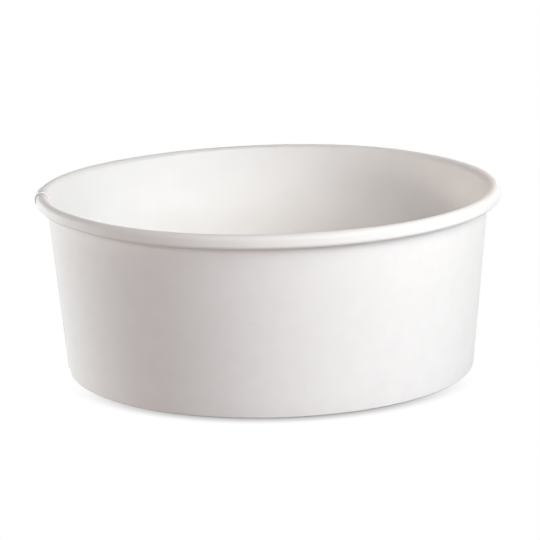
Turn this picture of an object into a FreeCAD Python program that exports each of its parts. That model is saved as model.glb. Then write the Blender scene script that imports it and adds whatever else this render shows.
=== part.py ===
import FreeCAD, Part
import math
import os

# A wide paper food cup made of two pieces of coated board.
# The side wall is one fan-shaped blank: rolled to a cone, lapped and sealed along one seam,
# curled outward at the top and folded inward at the bottom.
# The base disc is a shallow tray: its turned-down skirt is sealed between the wall and the folded hem.
# Millimetres, +Z up, origin at the centre of the ring that the cup stands on.

# Overall sizes
rim_diameter = 150.0
base_diameter = 132.2
height = 59.0

# Board
wall_board = 0.45
base_board = 0.35

# Rolled rim
curl_radius = 2.1
curl_side = 0.6
curl_gap = 0.05
curl_tail = 65.0

# Lapped side seam: the bearing, from +X towards +Y, of the cut edge that shows inside the cup
seam_bearing = 183.0
lap_width = 8.0
lap_climb = 2.4

# Folded bottom and base disc
fold_inside_radius = 0.05
base_height = 9.0
base_corner_radius = 1.0
skirt_clearance = 0.1
hem_clearance = 0.5

AXIS = FreeCAD.Vector(0, 0, 1)
ORIGIN = FreeCAD.Vector(0, 0, 0)
OUT = FreeCAD.Vector(1, 0, 0)
FULL_TURN = 360.0
HALF_TURN = 180.0
OUTWARD = 0.0
DOWN = -90.0

# The wall's outer face leaves the table at the base diameter and runs into the curl as a tangent.
base_edge = FreeCAD.Vector(base_diameter / 2, 0, 0)
curl_centre = FreeCAD.Vector(rim_diameter / 2 - curl_radius, 0, height - curl_radius)
base_to_curl = curl_centre - base_edge
lean = math.atan2(base_to_curl.x, base_to_curl.z) - math.asin((curl_radius - wall_board) / base_to_curl.Length)
wall_heading = 90.0 - math.degrees(lean)
skirt_heading = wall_heading - HALF_TURN


def direction(heading):
    """Unit vector in the section plane; the heading is measured from outward towards up."""
    angle = math.radians(heading)
    return FreeCAD.Vector(math.cos(angle), 0, math.sin(angle))


def to_the_right(heading):
    return direction(heading - 90.0)


def food_face(level):
    """Point on the wall's inner face at a height above the table."""
    radius = base_edge.x - wall_board / math.cos(lean) + level * math.tan(lean)
    return FreeCAD.Vector(radius, 0, level)


class Board:
    """Bent board in section: runs and bends laid one after another along its left face."""

    def __init__(self, start, heading):
        self.start = start
        self.heading = heading
        self.stretches = []

    def run(self, length):
        self.stretches.append(("run", length, 0.0))

    def bend(self, radius, turn):
        """The radius is that of the left face, and a positive turn is to the left."""
        self.stretches.append(("bend", radius, turn))

    def face_line(self, depth):
        """Edges at a depth in the board, measured from its left face."""
        heading = self.heading
        here = self.start + to_the_right(heading) * depth
        edges = []
        for kind, size, turn in self.stretches:
            if kind == "run":
                there = here + direction(heading) * size
                edges.append(Part.LineSegment(here, there).toShape())
            else:
                side = math.copysign(1.0, turn)
                spoke = side * size + depth
                centre = here - to_the_right(heading) * spoke
                middle = centre + to_the_right(heading + turn / 2) * spoke
                there = centre + to_the_right(heading + turn) * spoke
                edges.append(Part.Arc(here, middle, there).toShape())
                heading += turn
            here = there
        return edges

    def section(self, near, far):
        """Closed outline between two depths from the left face."""
        near_line = self.face_line(near)
        far_line = self.face_line(far)
        start_cut = Part.LineSegment(far_line[0].Vertexes[0].Point, near_line[0].Vertexes[0].Point)
        end_cut = Part.LineSegment(near_line[-1].Vertexes[-1].Point, far_line[-1].Vertexes[-1].Point)
        return Part.Wire(near_line + [end_cut.toShape()] + far_line[::-1] + [start_cut.toShape()])


def wall_board_path(layers):
    """Side wall from the hem's free edge to the curl's, as one layer of board or two sealed together."""
    stack = layers * wall_board
    out_of_wall = to_the_right(wall_heading)

    # The fold holds the base's skirt, and its underside is flush with the table.
    wall_foot = food_face(stack + fold_inside_radius * (1 - math.sin(lean)))
    fold_flat = (base_board - 2 * fold_inside_radius) / math.cos(lean)
    hem_foot = wall_foot - out_of_wall * 2 * fold_inside_radius - OUT * fold_flat
    hem_level = base_height - base_corner_radius - hem_clearance
    hem_length = (hem_level - hem_foot.z) / math.cos(lean)

    # The curl goes over the top, down, under to the wall and up inside itself.
    wall_top = curl_centre - out_of_wall * curl_radius
    under_radius = (rim_diameter / 2 - wall_top.x - stack - curl_gap) / 2

    board = Board(hem_foot + direction(wall_heading) * hem_length, skirt_heading)
    board.run(hem_length)
    board.bend(fold_inside_radius, OUTWARD - skirt_heading)
    board.run(fold_flat)
    board.bend(fold_inside_radius, wall_heading - OUTWARD)
    board.run((wall_top - wall_foot).Length)
    board.bend(curl_radius, DOWN - wall_heading)
    board.run(curl_side)
    board.bend(under_radius, -HALF_TURN)
    board.bend(under_radius, -curl_tail)
    return board


def swept(outline, from_bearing, sweep):
    """Turns a section about the cup's axis, starting at a bearing."""
    solid = Part.Face(outline).revolve(ORIGIN, AXIS, sweep)
    solid.rotate(ORIGIN, AXIS, from_bearing)
    return solid


def turned(outline, bearing):
    outline.rotate(ORIGIN, AXIS, bearing)
    return outline


def side_wall():
    """One blank rolled until its ends lap: the lap, the climb off the seam's raised end, and the plain wall."""
    seam_radius = (rim_diameter + base_diameter) / 4
    lap_angle = math.degrees(lap_width / seam_radius)
    climb_angle = math.degrees(lap_climb / seam_radius)
    single = wall_board_path(1)
    double = wall_board_path(2)

    plain_angle = FULL_TURN - lap_angle - climb_angle
    plain = swept(single.section(0, wall_board), seam_bearing + climb_angle, plain_angle)
    lap = swept(double.section(0, 2 * wall_board), seam_bearing - lap_angle, lap_angle)
    climb_head = turned(double.section(wall_board, 2 * wall_board), seam_bearing)
    climb_foot = turned(single.section(0, wall_board), seam_bearing + climb_angle)
    climb = Part.makeLoft([climb_head, climb_foot], True, True)
    return plain.fuse([climb, lap])


def base_disc():
    """A disc with its edge turned down against the wall, standing in the fold."""
    corner_level = base_height - base_corner_radius
    skirt_top = food_face(corner_level - base_corner_radius * math.sin(lean))
    skirt_foot_level = 2 * wall_board + fold_inside_radius + skirt_clearance

    board = Board(FreeCAD.Vector(0, 0, base_height), OUTWARD)
    board.run(skirt_top.x - base_corner_radius * math.cos(lean))
    board.bend(base_corner_radius, skirt_heading - OUTWARD)
    board.run((skirt_top.z - skirt_foot_level) / math.cos(lean))
    return swept(board.section(0, base_board), 0.0, FULL_TURN)


pieces = {
    "side_wall": side_wall(),
    "base_disc": base_disc(),
}

os.makedirs("parts", exist_ok=True)
for name, shape in pieces.items():
    shape.exportStep(f"parts/{name}.step")
    print(name, "solids", len(shape.Solids), "valid", shape.isValid(), "volume", round(shape.Volume, 1))
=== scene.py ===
"""A white paper sundae cup in a plain studio.

The cup is two pieces of coated board. The side wall is one fan-shaped blank, rolled until its ends
lap, curled outward at the rim and folded inward at the foot. The base disc is a shallow tray whose
turned-down skirt is sealed between the wall and that fold. Metres, +Z up.
"""

import logging
import math
from dataclasses import dataclass
from enum import Enum
from typing import Any

import bpy
import numpy as np
from mathutils import Matrix, Vector


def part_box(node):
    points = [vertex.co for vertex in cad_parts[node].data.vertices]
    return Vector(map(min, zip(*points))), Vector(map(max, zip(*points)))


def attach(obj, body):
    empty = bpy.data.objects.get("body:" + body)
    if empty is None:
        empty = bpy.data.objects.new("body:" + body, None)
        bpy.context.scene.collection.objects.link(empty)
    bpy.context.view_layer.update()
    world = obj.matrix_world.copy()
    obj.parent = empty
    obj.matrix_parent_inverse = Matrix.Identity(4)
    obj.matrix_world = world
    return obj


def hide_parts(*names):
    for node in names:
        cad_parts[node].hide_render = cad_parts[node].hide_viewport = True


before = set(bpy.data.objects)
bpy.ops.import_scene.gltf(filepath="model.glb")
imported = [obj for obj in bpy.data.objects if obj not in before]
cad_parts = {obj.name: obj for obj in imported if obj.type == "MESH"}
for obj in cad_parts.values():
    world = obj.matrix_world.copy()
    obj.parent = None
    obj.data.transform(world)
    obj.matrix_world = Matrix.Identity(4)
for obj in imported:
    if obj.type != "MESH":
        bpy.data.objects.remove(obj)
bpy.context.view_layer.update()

log = logging.getLogger("sundae_cup")

MM = 0.001
FULL_TURN = 360.0
HALF_TURN = 180.0
QUARTER_TURN = 90.0
OUTWARD = 0.0
DOWN = -90.0
SHARP_ANGLE = 50.0


def linear(hex_colour: str) -> tuple[float, float, float, float]:
    """Turns an sRGB hex colour to the linear colour that a shader takes.

    Args:
        hex_colour: Six hex digits, such as "F4F2EE".

    Returns:
        Linear red, green and blue, and an alpha of 1.
    """
    channels = [int(hex_colour[i:i + 2], 16) / 255 for i in (0, 2, 4)]
    red, green, blue = (c / 12.92 if c <= 0.04045 else ((c + 0.055) / 1.055) ** 2.4 for c in channels)
    return red, green, blue, 1.0


def add_node(
    tree: bpy.types.NodeTree,
    kind: str,
    inputs: dict[str | int, Any] | None = None,
    **settings: Any,
) -> bpy.types.Node:
    """Adds a shader node with its settings and links.

    Args:
        tree: Node tree that takes the node.
        kind: Type of the node, without the word ShaderNode.
        inputs: Value of each named input, or the socket that feeds it.
        settings: Properties of the node itself.

    Returns:
        The new node.
    """
    node = tree.nodes.new("ShaderNode" + kind)
    for name, value in settings.items():
        setattr(node, name, value)
    for name, value in (inputs or {}).items():
        if isinstance(value, bpy.types.NodeSocket):
            tree.links.new(value, node.inputs[name])
        else:
            node.inputs[name].default_value = value
    return node


def smooth(share: np.ndarray | float) -> np.ndarray:
    """Eases from 0 to 1 as the share goes from 0 to 1."""
    held = np.clip(share, 0.0, 1.0)
    return held * held * (3.0 - 2.0 * held)


def wander(bearing: np.ndarray | float, waves: tuple[tuple[int, float], ...]) -> np.ndarray | float:
    """Uneven wave round the cup, the same after each full turn.

    Args:
        bearing: Bearing in degrees.
        waves: Waves in a full turn and phase in radians, the longest wave first.

    Returns:
        A value between about -1 and 1.
    """
    total = sum(np.sin(count * np.radians(bearing) + phase) for count, phase in waves)
    return total / len(waves)


def bumps(bearing: float, each: tuple[tuple[float, float, float], ...]) -> float:
    """Sum of soft bumps round the cup.

    Args:
        bearing: Bearing in degrees.
        each: Bearing of the middle of each bump, its spread in degrees, and its height.

    Returns:
        The total, in the unit of the heights.
    """
    return sum(
        height * math.exp(-(((bearing - middle + HALF_TURN) % FULL_TURN - HALF_TURN) / spread) ** 2)
        for middle, spread, height in each
    )


def rib(bearing: float, count: int) -> float:
    """Height of a row of round ribs at a bearing in degrees, from 0 to 1."""
    return 0.5 + 0.5 * math.cos(math.radians(bearing) * count)


class Face(Enum):
    """The three kinds of surface on a piece of board, by material index."""

    FOOD_SIDE = 0
    OUTER_SIDE = 1
    CUT_EDGE = 2


@dataclass(frozen=True)
class BoardFinish:
    """A white surface of cup board: its colour, sheen, mottling and grain."""

    name: str
    light_colour: str
    dark_colour: str
    roughness_low: float
    roughness_high: float
    ior: float
    cloud_size: float
    grain_width: float
    grain_stretch: float
    grain_height: float
    gloss_level: float

    def material(self) -> bpy.types.Material:
        """Builds the finish as a material.

        Returns:
            The new material.
        """
        made = bpy.data.materials.new(self.name)
        made.use_nodes = True
        tree = made.node_tree
        tree.nodes.clear()
        place = add_node(tree, "TexCoord").outputs["Object"]
        clouds = add_node(
            tree, "TexNoise",
            {"Vector": place, "Scale": 1.0 / (self.cloud_size * MM), "Detail": 3.0, "Roughness": 0.55},
        )
        tint = add_node(
            tree, "Mix",
            {"Factor": clouds.outputs["Fac"], 6: linear(self.dark_colour), 7: linear(self.light_colour)},
            data_type="RGBA",
        )
        shine = add_node(
            tree, "MapRange",
            {"Value": clouds.outputs["Fac"], "To Min": self.roughness_high, "To Max": self.roughness_low},
        )
        fibre_scale = Vector((1.0, 1.0, 1.0 / self.grain_stretch)) / (self.grain_width * MM)
        along = add_node(tree, "Mapping", {"Vector": place, "Scale": fibre_scale})
        grain = add_node(
            tree, "TexNoise",
            {"Vector": along.outputs["Vector"], "Scale": 1.0, "Detail": 4.0, "Roughness": 0.6},
        )
        relief = add_node(
            tree, "Bump",
            {"Height": grain.outputs["Fac"], "Distance": self.grain_height * MM, "Strength": 1.0},
        )
        board = add_node(
            tree, "BsdfPrincipled",
            {
                "Base Color": tint.outputs[2],
                "Roughness": shine.outputs["Result"],
                "Normal": relief.outputs["Normal"],
                "IOR": self.ior,
                "Specular IOR Level": self.gloss_level,
            },
        )
        add_node(tree, "OutputMaterial", {"Surface": board.outputs["BSDF"]})
        return made


# Bleached board under a film of clear polyethylene, chilled on a matt roller: nearly matt, with a
# faint sheen at a low angle that breaks up over the orange peel of the film.
FILMED_FOOD_SIDE = BoardFinish(
    name="board_polyethylene_filmed",
    light_colour="F5F4F2",
    dark_colour="F0EEEB",
    roughness_low=0.66,
    roughness_high=0.76,
    ior=1.5,
    cloud_size=9.0,
    grain_width=0.9,
    grain_stretch=1.6,
    grain_height=0.006,
    gloss_level=0.22,
)

# Bleached board, clay-washed and calendered: a dry, nearly matt white with faint upright fibres.
# The fibres are drawn about twice as wide as real ones, so that they show at all.
CALENDERED_OUTER_SIDE = BoardFinish(
    name="board_clay_calendered",
    light_colour="F4F3F2",
    dark_colour="EEECEA",
    roughness_low=0.72,
    roughness_high=0.82,
    ior=1.45,
    cloud_size=5.0,
    grain_width=0.35,
    grain_stretch=5.0,
    grain_height=0.010,
    gloss_level=0.15,
)

# The die-cut edge of the board, with no film or clay: soft, fuzzy and brighter than the faces
# beside it, because nothing gives it a sheen.
DIE_CUT_EDGE = BoardFinish(
    name="board_die_cut_edge",
    light_colour="FBFAF8",
    dark_colour="F3F1ED",
    roughness_low=0.85,
    roughness_high=0.95,
    ior=1.4,
    cloud_size=1.5,
    grain_width=0.12,
    grain_stretch=1.0,
    grain_height=0.015,
    gloss_level=0.1,
)


def heading_vector(heading: np.ndarray | float) -> np.ndarray:
    """Unit vector in the section plane, for a heading measured from outward towards up."""
    angle = np.radians(heading)
    return np.stack([np.cos(angle), np.sin(angle)], axis=-1)


def to_the_right(heading: np.ndarray | float) -> np.ndarray:
    """Unit vector square to a heading, on its right."""
    return heading_vector(np.asarray(heading) - QUARTER_TURN)


class BentLine:
    """The left face of a bent board in section, as points of radius and height with their headings."""

    def __init__(self, start: np.ndarray, heading: float) -> None:
        """Starts the line at a point, with a heading in degrees."""
        self.points = [np.asarray(start, float)]
        self.headings = [heading]

    def run(self, length: float, steps: int) -> None:
        """Adds a straight stretch.

        Args:
            length: Its length.
            steps: How many equal steps it is drawn in.
        """
        start = self.points[-1]
        heading = self.headings[-1]
        for i in range(1, steps + 1):
            self.points.append(start + heading_vector(heading) * length * i / steps)
            self.headings.append(heading)

    def bend(self, radius: float, turn: float, steps: int) -> None:
        """Adds a bend.

        Args:
            radius: Radius of the left face.
            turn: Angle turned, positive to the left.
            steps: How many equal steps it is drawn in.
        """
        heading = self.headings[-1]
        spoke = math.copysign(radius, turn)
        centre = self.points[-1] - to_the_right(heading) * spoke
        for i in range(1, steps + 1):
            here = heading + turn * i / steps
            self.points.append(centre + to_the_right(here) * spoke)
            self.headings.append(here)

    def at_depth(self, depth: np.ndarray | float) -> np.ndarray:
        """Points of the line that lies at a depth in the board, measured from the left face."""
        return np.array(self.points) + to_the_right(np.array(self.headings)) * np.reshape(depth, (-1, 1))


@dataclass
class CupShape:
    """Sizes that both pieces share, in metres and degrees."""

    rim_radius: float
    height: float
    base_height: float
    base_radius: float = 66.1 * MM
    wall_board: float = 0.45 * MM
    base_board: float = 0.35 * MM
    curl_radius: float = 2.1 * MM
    curl_side: float = 0.45 * MM
    fold_inside_radius: float = 0.05 * MM
    base_corner_radius: float = 1.0 * MM

    @classmethod
    def from_frame(cls) -> "CupShape":
        """Reads the overall sizes from the fixed frame.

        Returns:
            The sizes, with the rest at their own values.
        """
        wall_low, wall_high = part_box("side_wall")
        base_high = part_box("base_disc")[1]
        return cls(
            rim_radius=(wall_high.x - wall_low.x) / 2,
            height=wall_high.z,
            base_height=base_high.z,
        )

    @property
    def lean(self) -> float:
        """Angle of the wall from upright, in radians.

        Returns:
            The angle at which the wall runs from the foot to touch the roll.
        """
        across = self.rim_radius - self.curl_radius - self.base_radius
        up = self.height - self.curl_radius
        reach = math.hypot(across, up)
        return math.atan2(across, up) - math.asin((self.curl_radius - self.wall_board) / reach)

    @property
    def wall_heading(self) -> float:
        """Heading of the wall, in degrees from outward towards up."""
        return QUARTER_TURN - math.degrees(self.lean)

    def food_face(self, level: float) -> np.ndarray:
        """Point on the wall's inner face at a height above the table."""
        radius = self.base_radius - self.wall_board / math.cos(self.lean) + level * math.tan(self.lean)
        return np.array([radius, level])


def board_mesh(name: str, food: np.ndarray, outer: np.ndarray, closed: bool) -> bpy.types.Object:
    """Joins the two faces of a board into one closed mesh, with its cut edges between them.

    Args:
        name: Name of the new object.
        food: Points of the food side, by station round the cup and place along the section.
        outer: Points of the other side, in the same order.
        closed: Whether the last station meets the first.

    Returns:
        The new object, with the three material indexes of Face.
    """
    stations, places = food.shape[:2]
    at_food = np.arange(stations * places).reshape(stations, places)
    at_outer = at_food + stations * places
    if closed:
        at_food = np.vstack([at_food, at_food[:1]])
        at_outer = np.vstack([at_outer, at_outer[:1]])

    def quads(a: np.ndarray, b: np.ndarray, c: np.ndarray, d: np.ndarray) -> np.ndarray:
        """Faces whose corners are the matching entries of four arrays."""
        return np.stack([a.ravel(), b.ravel(), c.ravel(), d.ravel()], axis=1)

    patches = [
        (Face.FOOD_SIDE, quads(at_food[:-1, :-1], at_food[:-1, 1:], at_food[1:, 1:], at_food[1:, :-1])),
        (
            Face.OUTER_SIDE,
            quads(at_outer[:-1, :-1], at_outer[1:, :-1], at_outer[1:, 1:], at_outer[:-1, 1:]),
        ),
        (Face.CUT_EDGE, quads(at_food[:-1, -1], at_outer[:-1, -1], at_outer[1:, -1], at_food[1:, -1])),
    ]
    if not closed:
        patches += [
            (Face.CUT_EDGE, quads(at_food[:-1, 0], at_food[1:, 0], at_outer[1:, 0], at_outer[:-1, 0])),
            (Face.CUT_EDGE, quads(at_food[0, :-1], at_outer[0, :-1], at_outer[0, 1:], at_food[0, 1:])),
            (Face.CUT_EDGE, quads(at_food[-1, :-1], at_food[-1, 1:], at_outer[-1, 1:], at_outer[-1, :-1])),
        ]
    faces = [tuple(corners) for _, patch in patches for corners in patch.tolist()]
    kinds = [kind.value for kind, patch in patches for _ in range(len(patch))]
    points = np.concatenate([food.reshape(-1, 3), outer.reshape(-1, 3)]).tolist()
    if closed:
        hub_food, hub_outer = len(points), len(points) + 1
        points += [food[:, 0].mean(axis=0).tolist(), outer[:, 0].mean(axis=0).tolist()]
        for this, following in zip(at_food[:-1, 0].tolist(), at_food[1:, 0].tolist()):
            faces.append((hub_food, this, following))
            kinds.append(Face.FOOD_SIDE.value)
        for this, following in zip(at_outer[:-1, 0].tolist(), at_outer[1:, 0].tolist()):
            faces.append((hub_outer, following, this))
            kinds.append(Face.OUTER_SIDE.value)

    mesh = bpy.data.meshes.new(name)
    mesh.from_pydata(points, [], faces)
    mesh.polygons.foreach_set("material_index", kinds)
    mesh.shade_smooth()
    mesh.set_sharp_from_angle(angle=math.radians(SHARP_ANGLE))
    mesh.validate()
    piece = bpy.data.objects.new(name, mesh)
    bpy.context.scene.collection.objects.link(piece)
    return piece


def round_the_cup(lines: np.ndarray, bearings: np.ndarray) -> np.ndarray:
    """Places section lines at their bearings.

    Args:
        lines: Radius and height, by station and place along the section.
        bearings: Bearing of each station, in degrees from +X towards +Y.

    Returns:
        Points in space, in the same order.
    """
    angles = np.radians(bearings)[:, None]
    radius, level = lines[..., 0], lines[..., 1]
    return np.stack([radius * np.cos(angles), radius * np.sin(angles), level], axis=-1)


@dataclass
class SideWall:
    """The rolled blank: hem, fold, wall and rolled rim, with its two ends lapped at the seam."""

    shape: CupShape
    finishes: tuple[BoardFinish, ...] = (FILMED_FOOD_SIDE, CALENDERED_OUTER_SIDE, DIE_CUT_EDGE)
    # The seam, with the bulge that two layers make in the roll and the free cut edge that lifts a little,
    # from spring_start curl radii below the rim's top.
    seam_bearing: float = 183.0
    lap_width: float = 8.0 * MM
    lap_climb: float = 2.4 * MM
    lap_relax: float = 3.0 * MM
    lap_swell: float = 0.45 * MM
    lap_lift: float = 0.30 * MM
    edge_spring: float = 0.09 * MM
    spring_angle: float = 2.5
    spring_start: float = 1.5
    seam_pinch: float = 0.35 * MM
    pinch_bearing: float = 13.0
    pinch_spread: float = 8.0
    seal_film: float = 0.012 * MM
    # The roll. Each rise is a bearing, a spread in degrees and a height, and each crease bump is a
    # bearing, a spread and an extra turn, all in degrees.
    rim_rises: tuple[tuple[float, float, float], ...] = (
        (128.0, 28.0, -0.42 * MM),
        (62.0, 20.0, 0.30 * MM),
        (214.0, 16.0, 0.25 * MM),
    )
    side_rises: tuple[tuple[float, float, float], ...] = ((216.0, 20.0, 0.40 * MM),)
    curl_gap: float = 0.05 * MM
    curl_tail: float = 65.0
    under_corner: float = 1.2 * MM
    curl_inner_radius: float = 2.55 * MM
    crease_turn: float = 14.0
    crease_swing: float = 4.0
    crease_bumps: tuple[tuple[float, float, float], ...] = (
        (28.0, 2.6, 14.0),
        (45.0, 5.0, 14.0),
        (95.0, 42.0, 28.0),
    )
    crease_radius: float = 0.4 * MM
    rim_ripple: float = 0.03 * MM
    wall_ripple: float = 0.05 * MM
    # The hem and its ribs.
    hem_clearance: float = 0.5 * MM
    hem_steps: int = 6
    knurl_count: int = 180
    knurl_height: float = 0.10 * MM
    knurl_margin: float = 0.9 * MM
    # How finely the wall is drawn, and its unevenness as waves in a full turn with their phases.
    turn_steps: int = 720
    lap_steps: int = 14
    rim_waves: tuple[tuple[int, float], ...] = ((2, 0.4), (5, 2.0), (11, 1.1), (29, 0.3), (47, 2.6))
    crease_waves: tuple[tuple[int, float], ...] = ((3, 1.9), (8, 0.2), (17, 2.2), (37, 1.0))
    wall_waves: tuple[tuple[int, float], ...] = ((2, 1.3), (3, 0.1), (7, 2.4))

    @property
    def lap_angle(self) -> float:
        """Angle that the lap takes, in degrees."""
        return math.degrees(self.lap_width / self.mean_radius)

    @property
    def climb_angle(self) -> float:
        """Angle over which the second end climbs on to the first, in degrees."""
        return math.degrees(self.lap_climb / self.mean_radius)

    @property
    def mean_radius(self) -> float:
        """Radius half way between the rim and the foot."""
        return (self.shape.rim_radius + self.shape.base_radius) / 2

    def stations(self) -> np.ndarray:
        """Angles of the sections past the seam, from the blank's hidden end to the one that shows inside.

        Returns:
            The angles in degrees, closer together in the lap than round the cup.
        """
        return np.concatenate([
            np.linspace(-self.lap_angle, 0.0, self.lap_steps, endpoint=False),
            np.linspace(0.0, self.climb_angle, self.lap_steps, endpoint=False),
            np.linspace(self.climb_angle, FULL_TURN - self.lap_angle, self.turn_steps, endpoint=False),
            np.linspace(FULL_TURN - self.lap_angle, FULL_TURN, self.lap_steps),
        ])

    def food_line(self, bearing: float, layers: float) -> BentLine:
        """Food side of the wall in section, from the hem's free edge to the end of the curl.

        Args:
            bearing: Where round the cup the section is, in degrees.
            layers: Layers of board that the fold and the curl hold there, from 1 to 2.

        Returns:
            The line.
        """
        s = self.shape
        stack = layers * s.wall_board
        inside = s.fold_inside_radius
        out_of_wall = to_the_right(s.wall_heading)
        past_seam = (bearing - self.seam_bearing) % FULL_TURN
        pinch = self.seam_pinch * math.exp(-((past_seam - self.pinch_bearing) / self.pinch_spread) ** 2)
        rim_radius = (
            s.rim_radius
            + self.rim_ripple * wander(bearing, self.rim_waves)
            + self.lap_swell * (layers - 1)
            - pinch
        )

        wall_foot = s.food_face(stack + inside * (1 - math.sin(s.lean)))
        fold_flat = (s.base_board - 2 * inside) / math.cos(s.lean)
        hem_foot = wall_foot - out_of_wall * 2 * inside - np.array([fold_flat, 0.0])
        hem_level = s.base_height - s.base_corner_radius - self.hem_clearance
        hem_length = (hem_level - hem_foot[1]) / math.cos(s.lean)

        # The board creases a little where it leaves the wall, then rolls in a wide arc and a tighter one,
        # comes down a short side, turns under two corners and runs up along the wall again.
        inner_radius = self.curl_inner_radius
        crease_turn = (
            self.crease_turn
            + self.crease_swing * wander(bearing, self.crease_waves)
            + bumps(bearing, self.crease_bumps)
        )
        past_crease = s.wall_heading - crease_turn
        inset = self.crease_radius + (
            (inner_radius - self.crease_radius) * math.cos(math.radians(crease_turn))
        )
        height = s.height + bumps(bearing, self.rim_rises) + self.lap_lift * (layers - 1)
        arc_level = height - inner_radius
        top_radius = s.food_face(arc_level)[0] + inset / math.cos(s.lean)
        outer_radius = rim_radius - top_radius
        arc_start = np.array([top_radius, arc_level]) - to_the_right(past_crease) * inner_radius
        crease_start = arc_start + (to_the_right(past_crease) - out_of_wall) * self.crease_radius

        side_foot_level = height - s.curl_radius - s.curl_side + pinch + bumps(bearing, self.side_rises)
        wall_top_radius = s.food_face(s.height - s.curl_radius * (1 - math.sin(s.lean)))[0]
        under_radius = (rim_radius - wall_top_radius - stack - self.curl_gap) / 2

        line = BentLine(hem_foot + heading_vector(s.wall_heading) * hem_length, s.wall_heading - HALF_TURN)
        line.run(hem_length, steps=self.hem_steps)
        line.bend(inside, HALF_TURN - s.wall_heading, steps=4)
        line.run(fold_flat, steps=1)
        line.bend(inside, s.wall_heading - OUTWARD, steps=4)
        line.run(float(np.linalg.norm(crease_start - wall_foot)), steps=10)
        line.bend(self.crease_radius, -crease_turn, steps=3)
        line.bend(inner_radius, OUTWARD - past_crease, steps=8)
        line.bend(outer_radius, DOWN - OUTWARD, steps=7)
        flat_half = under_radius - self.under_corner
        line.run(height - outer_radius - side_foot_level + flat_half, steps=2)
        line.bend(self.under_corner, -QUARTER_TURN, steps=5)
        line.run(flat_half * 2, steps=1)
        line.bend(self.under_corner, -QUARTER_TURN, steps=4)
        line.run(flat_half, steps=1)
        line.bend(under_radius, -self.curl_tail, steps=3)
        return line

    def swell(self, points: np.ndarray, bearing: float) -> np.ndarray:
        """Small outward swell of the wall between its foot and its rim, as rolled board has.

        Args:
            points: Radius and height of each place along the section.
            bearing: Where round the cup the section is, in degrees.

        Returns:
            How far each place moves outward.
        """
        up = np.clip(points[:, 1] / self.shape.height, 0.0, 1.0)
        belly = np.sin(up * np.pi) ** 2
        return self.wall_ripple * belly * wander(bearing, self.wall_waves)

    def knurl(self, points: np.ndarray, bearing: float) -> np.ndarray:
        """Height of the ribs that press the hem on to the skirt.

        Args:
            points: Radius and height of each place along the section, the hem's places first.
            bearing: Where round the cup the section is, in degrees.

        Returns:
            The height at each place, zero outside the hem.
        """
        hem_places = self.hem_steps + 1
        low = points[:hem_places, 1].min() + self.knurl_margin
        high = points[:hem_places, 1].max() - self.knurl_margin
        level = points[:, 1]
        fade_in = smooth((level - low) / self.knurl_margin + 1)
        fade_out = smooth((high - level) / self.knurl_margin + 1)
        band = fade_in * fade_out
        band[hem_places:] = 0.0
        return self.knurl_height * rib(bearing, self.knurl_count) * band

    def build(self) -> bpy.types.Object:
        """Builds the wall's mesh.

        Returns:
            The new object.
        """
        turned = self.stations()
        bearings = self.seam_bearing + turned
        relax_angle = math.degrees(self.lap_relax / self.mean_radius)
        under = 1.0 - smooth(turned / self.climb_angle)
        free_end = smooth((turned - FULL_TURN) / self.spring_angle + 1.0)
        gathered = smooth((turned - FULL_TURN + self.lap_angle + relax_angle) / relax_angle)
        food, outer = [], []
        for bearing, layers, covered, free in zip(bearings, 1.0 + under + gathered, under, free_end):
            line = self.food_line(bearing, layers)
            flat = line.at_depth(0.0)
            on_curl = smooth((flat[:, 1] - self.shape.height) / self.shape.curl_radius + self.spring_start)
            depth = covered * (self.shape.wall_board + self.seal_film) - free * self.edge_spring * on_curl
            near = line.at_depth(depth)
            far = line.at_depth(depth + self.shape.wall_board + self.knurl(near, bearing))
            swell = self.swell(near, bearing)
            near[:, 0] += swell
            far[:, 0] += swell
            food.append(near)
            outer.append(far)
        return board_mesh(
            "cup_side_wall",
            round_the_cup(np.array(food), bearings),
            round_the_cup(np.array(outer), bearings),
            closed=False,
        )

    def dress(self, wall: bpy.types.Object) -> None:
        """Gives the wall its finishes and its place in the frame.

        Args:
            wall: The object that build made.
        """
        for finish in self.finishes:
            wall.data.materials.append(finish.material())
        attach(wall, "root")
        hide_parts("side_wall")


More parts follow.
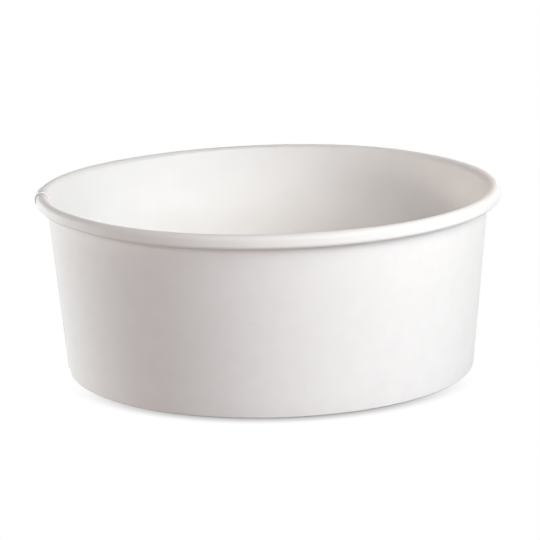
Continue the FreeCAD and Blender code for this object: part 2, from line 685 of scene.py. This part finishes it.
@dataclass
class BaseDisc:
    """The shallow tray of board that closes the cup above its foot."""

    shape: CupShape
    finishes: tuple[BoardFinish, ...] = (FILMED_FOOD_SIDE, CALENDERED_OUTER_SIDE, DIE_CUT_EDGE)
    skirt_foot: float = 1.05 * MM
    hub_radius: float = 4.0 * MM
    stations_per_turn: int = 720
    # The pleats where the blank turns down into the skirt, the sag in the middle and the waves by the edge.
    pleat_count: int = 180
    pleat_depth: float = 0.05 * MM
    middle_sag: float = 0.25 * MM
    edge_wander: float = 0.04 * MM
    edge_power: int = 6
    edge_waves: tuple[tuple[int, float], ...] = ((3, 0.9), (5, 2.2), (9, 0.4))

    def build(self) -> bpy.types.Object:
        """Builds the disc's mesh.

        Returns:
            The new object.
        """
        s = self.shape
        bearings = np.arange(self.stations_per_turn) * FULL_TURN / self.stations_per_turn
        skirt_top = s.food_face(s.base_height - s.base_corner_radius * (1 + math.sin(s.lean)))
        flat_radius = skirt_top[0] - s.base_corner_radius * math.cos(s.lean)
        food, outer = [], []
        for bearing in bearings:
            line = BentLine(np.array([self.hub_radius, s.base_height]), OUTWARD)
            line.run(flat_radius - self.hub_radius, steps=12)
            line.bend(s.base_corner_radius, s.wall_heading - HALF_TURN, steps=6)
            line.run((skirt_top[1] - self.skirt_foot) / math.cos(s.lean), steps=3)
            near = line.at_depth(0.0)
            share = np.clip(near[:, 0] / flat_radius, 0.0, 1.0)
            skirt = smooth((s.base_height - near[:, 1]) / s.base_corner_radius)
            # The pleats are deepest half way round the corner, and fade out on both sides of it.
            round_the_corner = 4 * skirt * (1 - skirt)
            far = line.at_depth(
                s.base_board + self.pleat_depth * rib(bearing, self.pleat_count) * round_the_corner
            )
            near_the_edge = share ** self.edge_power * (1 - skirt)
            sag = self.middle_sag * (1 - share ** 2) + (
                self.edge_wander * near_the_edge * (1 + wander(bearing, self.edge_waves))
            )
            near[:, 1] -= sag
            far[:, 1] -= sag
            food.append(near)
            outer.append(far)
        return board_mesh(
            "cup_base_disc",
            round_the_cup(np.array(food), bearings),
            round_the_cup(np.array(outer), bearings),
            closed=True,
        )

    def dress(self, disc: bpy.types.Object) -> None:
        """Gives the disc its finishes and its place in the frame.

        Args:
            disc: The object that build made.
        """
        for finish in self.finishes:
            disc.data.materials.append(finish.material())
        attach(disc, "root")
        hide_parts("base_disc")


@dataclass(frozen=True)
class SoftBox:
    """A soft lamp with an even face, placed by where it stands round the cup."""

    name: str
    azimuth: float
    elevation: float
    distance: float
    width: float
    tall: float
    power: float
    colour: str

    def build(self) -> bpy.types.Object:
        """Adds the lamp, aimed at the cup.

        Returns:
            The new lamp.
        """
        across = math.radians(self.azimuth)
        up = math.radians(self.elevation)
        towards_lamp = Vector(
            (math.sin(across) * math.cos(up), -math.cos(across) * math.cos(up), math.sin(up))
        )
        data = bpy.data.lights.new(self.name, "AREA")
        data.shape = "RECTANGLE"
        data.size = self.width
        data.size_y = self.tall
        data.energy = self.power
        data.color = linear(self.colour)[:3]
        lamp = bpy.data.objects.new(self.name, data)
        lamp.location = towards_lamp * self.distance
        lamp.rotation_mode = "QUATERNION"
        lamp.rotation_quaternion = (-towards_lamp).to_track_quat("-Z", "Y")
        lamp.visible_camera = False
        bpy.context.scene.collection.objects.link(lamp)
        return lamp


@dataclass
class Studio:
    """The white floor, the lamps, the white surroundings and the camera.

    The floor gives back more light on the side of the key lamp, and its soft shadow lies in front.
    """

    shape: CupShape
    lamps: tuple[SoftBox, ...] = (
        SoftBox("key_lamp", 56.0, 21.0, distance=1.3, width=0.6, tall=0.5, power=8.6, colour="E8F5FF"),
        SoftBox("near_lamp", 57.0, 38.0, distance=0.5, width=0.3, tall=0.2, power=0.91, colour="FFFAF2"),
        SoftBox("low_strip", -125.0, 1.7, distance=1.0, width=0.5, tall=0.06, power=5.3, colour="EBF9FF"),
        SoftBox("left_lamp", -114.0, 11.0, distance=1.3, width=0.6, tall=0.15, power=6.0, colour="FFF7F1"),
        SoftBox("front_lamp", -15.0, 22.0, distance=1.3, width=0.5, tall=0.5, power=5.0, colour="FFF7F8"),
        SoftBox("back_lamp", 163.0, 25.0, distance=1.3, width=0.7, tall=0.5, power=6.9, colour="FFEEE9"),
    )
    floor_side: float = 6.0
    floor_colour: str = "FFF4EF"
    floor_glow_left: float = 0.36
    floor_glow_right: float = 0.50
    glow_reach: float = 90.0 * MM
    shadow_reach: float = 6.3 * MM
    shadow_side: float = 0.32
    shadow_front: float = 0.95
    shadow_samples: int = 16
    camera_distance: float = 872.9 * MM
    camera_elevation: float = 13.18
    camera_roll: float = -1.276
    focal_pixels: float = 2693.7
    image_pixels: float = 540.0
    rim_centre_pixel: tuple[float, float] = (267.50, 185.27)
    sensor_width_mm: float = 36.0
    near_clip: float = 10.0 * MM
    far_clip: float = 20.0

    def seen_directly(self, tree: bpy.types.NodeTree) -> bpy.types.NodeSocket:
        """Adds a value that is 1 for what the camera, a reflection or a clear material shows.

        Args:
            tree: Node tree that takes the nodes.

        Returns:
            The socket with the value.
        """
        path = add_node(tree, "LightPath")
        direct = add_node(
            tree, "Math",
            {0: path.outputs["Is Camera Ray"], 1: path.outputs["Is Glossy Ray"]},
            operation="ADD", use_clamp=True,
        )
        both = add_node(
            tree, "Math",
            {0: direct.outputs["Value"], 1: path.outputs["Is Transmission Ray"]},
            operation="ADD", use_clamp=True,
        )
        return both.outputs["Value"]

    def build_floor(self) -> bpy.types.Object:
        """Adds a white floor that shows the soft contact shadow and lights the cup from below.

        Returns:
            The floor.
        """
        half = self.floor_side / 2
        mesh = bpy.data.meshes.new("floor")
        corners = [(-half, -half, 0), (half, -half, 0), (half, half, 0), (-half, half, 0)]
        mesh.from_pydata(corners, [], [(0, 1, 2, 3)])
        floor = bpy.data.objects.new("floor", mesh)
        bpy.context.scene.collection.objects.link(floor)
        paper = bpy.data.materials.new("floor_white_paper")
        paper.use_nodes = True
        tree = paper.node_tree
        tree.nodes.clear()
        hidden = add_node(
            tree, "AmbientOcclusion", {"Distance": self.shadow_reach}, samples=self.shadow_samples,
        )
        place = add_node(tree, "TexCoord").outputs["Object"]
        from_cup = add_node(tree, "VectorMath", {0: place}, operation="NORMALIZE")
        apart = add_node(tree, "SeparateXYZ", {0: from_cup.outputs["Vector"]})
        depth = add_node(
            tree, "MapRange",
            {"Value": apart.outputs["Y"], "From Min": -self.shadow_side, "From Max": -self.shadow_front},
            interpolation_type="SMOOTHSTEP",
        )
        shade = add_node(
            tree, "Mix",
            {0: depth.outputs["Result"], 6: (1.0, 1.0, 1.0, 1.0), 7: hidden.outputs["Color"]},
            data_type="RGBA",
        )
        glow = add_node(tree, "Emission", {"Color": shade.outputs[2], "Strength": 1.0})
        across = add_node(tree, "SeparateXYZ", {0: place})
        strength = add_node(
            tree, "MapRange",
            {
                "Value": across.outputs["X"],
                "From Min": -self.glow_reach,
                "From Max": self.glow_reach,
                "To Min": self.floor_glow_left,
                "To Max": self.floor_glow_right,
            },
            interpolation_type="SMOOTHSTEP",
        )
        bounce = add_node(
            tree, "Emission", {"Color": linear(self.floor_colour), "Strength": strength.outputs["Result"]},
        )
        shown = add_node(
            tree, "MixShader",
            {0: self.seen_directly(tree), 1: bounce.outputs["Emission"], 2: glow.outputs["Emission"]},
        )
        add_node(tree, "OutputMaterial", {"Surface": shown.outputs["Shader"]})
        mesh.materials.append(paper)
        return floor

    def build_surround(self) -> None:
        """Makes the surroundings white where they are seen or reflected, with no other light from them."""
        world = bpy.data.worlds.new("studio")
        world.use_nodes = True
        tree = world.node_tree
        tree.nodes.clear()
        seen = add_node(tree, "Background", {"Color": (1.0, 1.0, 1.0, 1.0), "Strength": 1.0})
        unlit = add_node(tree, "Background", {"Color": (0.0, 0.0, 0.0, 1.0), "Strength": 0.0})
        shown = add_node(
            tree, "MixShader",
            {0: self.seen_directly(tree), 1: unlit.outputs["Background"], 2: seen.outputs["Background"]},
        )
        add_node(tree, "OutputWorld", {"Surface": shown.outputs["Shader"]})
        bpy.context.scene.world = world

    def build_camera(self) -> bpy.types.Object:
        """Adds the camera at the photograph's viewing angle.

        Returns:
            The camera.
        """
        tilt = math.radians(self.camera_elevation)
        roll = math.radians(self.camera_roll)
        level_right = Vector((1.0, 0.0, 0.0))
        level_up = Vector((0.0, math.sin(tilt), math.cos(tilt)))
        back = Vector((0.0, -math.cos(tilt), math.sin(tilt)))
        right = level_right * math.cos(roll) + level_up * math.sin(roll)
        up = level_up * math.cos(roll) - level_right * math.sin(roll)
        middle = (self.image_pixels - 1) / 2
        across = (self.rim_centre_pixel[0] - middle) / self.focal_pixels
        down = (self.rim_centre_pixel[1] - middle) / self.focal_pixels
        towards_rim = (right * across - up * down - back).normalized()
        rim_centre = Vector((0.0, 0.0, self.shape.height))

        data = bpy.data.cameras.new("camera")
        data.sensor_width = self.sensor_width_mm
        data.lens = self.focal_pixels / self.image_pixels * self.sensor_width_mm
        data.clip_start = self.near_clip
        data.clip_end = self.far_clip
        camera = bpy.data.objects.new("camera", data)
        axes = Matrix((right, up, back)).transposed().to_4x4()
        camera.matrix_world = Matrix.Translation(rim_centre - towards_rim * self.camera_distance) @ axes
        bpy.context.scene.collection.objects.link(camera)
        bpy.context.scene.camera = camera
        return camera

    def build(self) -> None:
        """Builds the whole studio."""
        self.build_floor()
        self.build_surround()
        self.build_camera()
        for lamp in self.lamps:
            lamp.build()
        bpy.context.scene.view_settings.view_transform = "Standard"


def main() -> None:
    """Builds the cup and the studio, and reports each piece."""
    logging.basicConfig(level=logging.INFO, format="%(name)s: %(message)s")
    shape = CupShape.from_frame()
    for part in (SideWall(shape), BaseDisc(shape)):
        piece = part.build()
        part.dress(piece)
        log.info("%s has %d faces", piece.name, len(piece.data.polygons))
    Studio(shape).build()


if __name__ == "__main__":
    main()
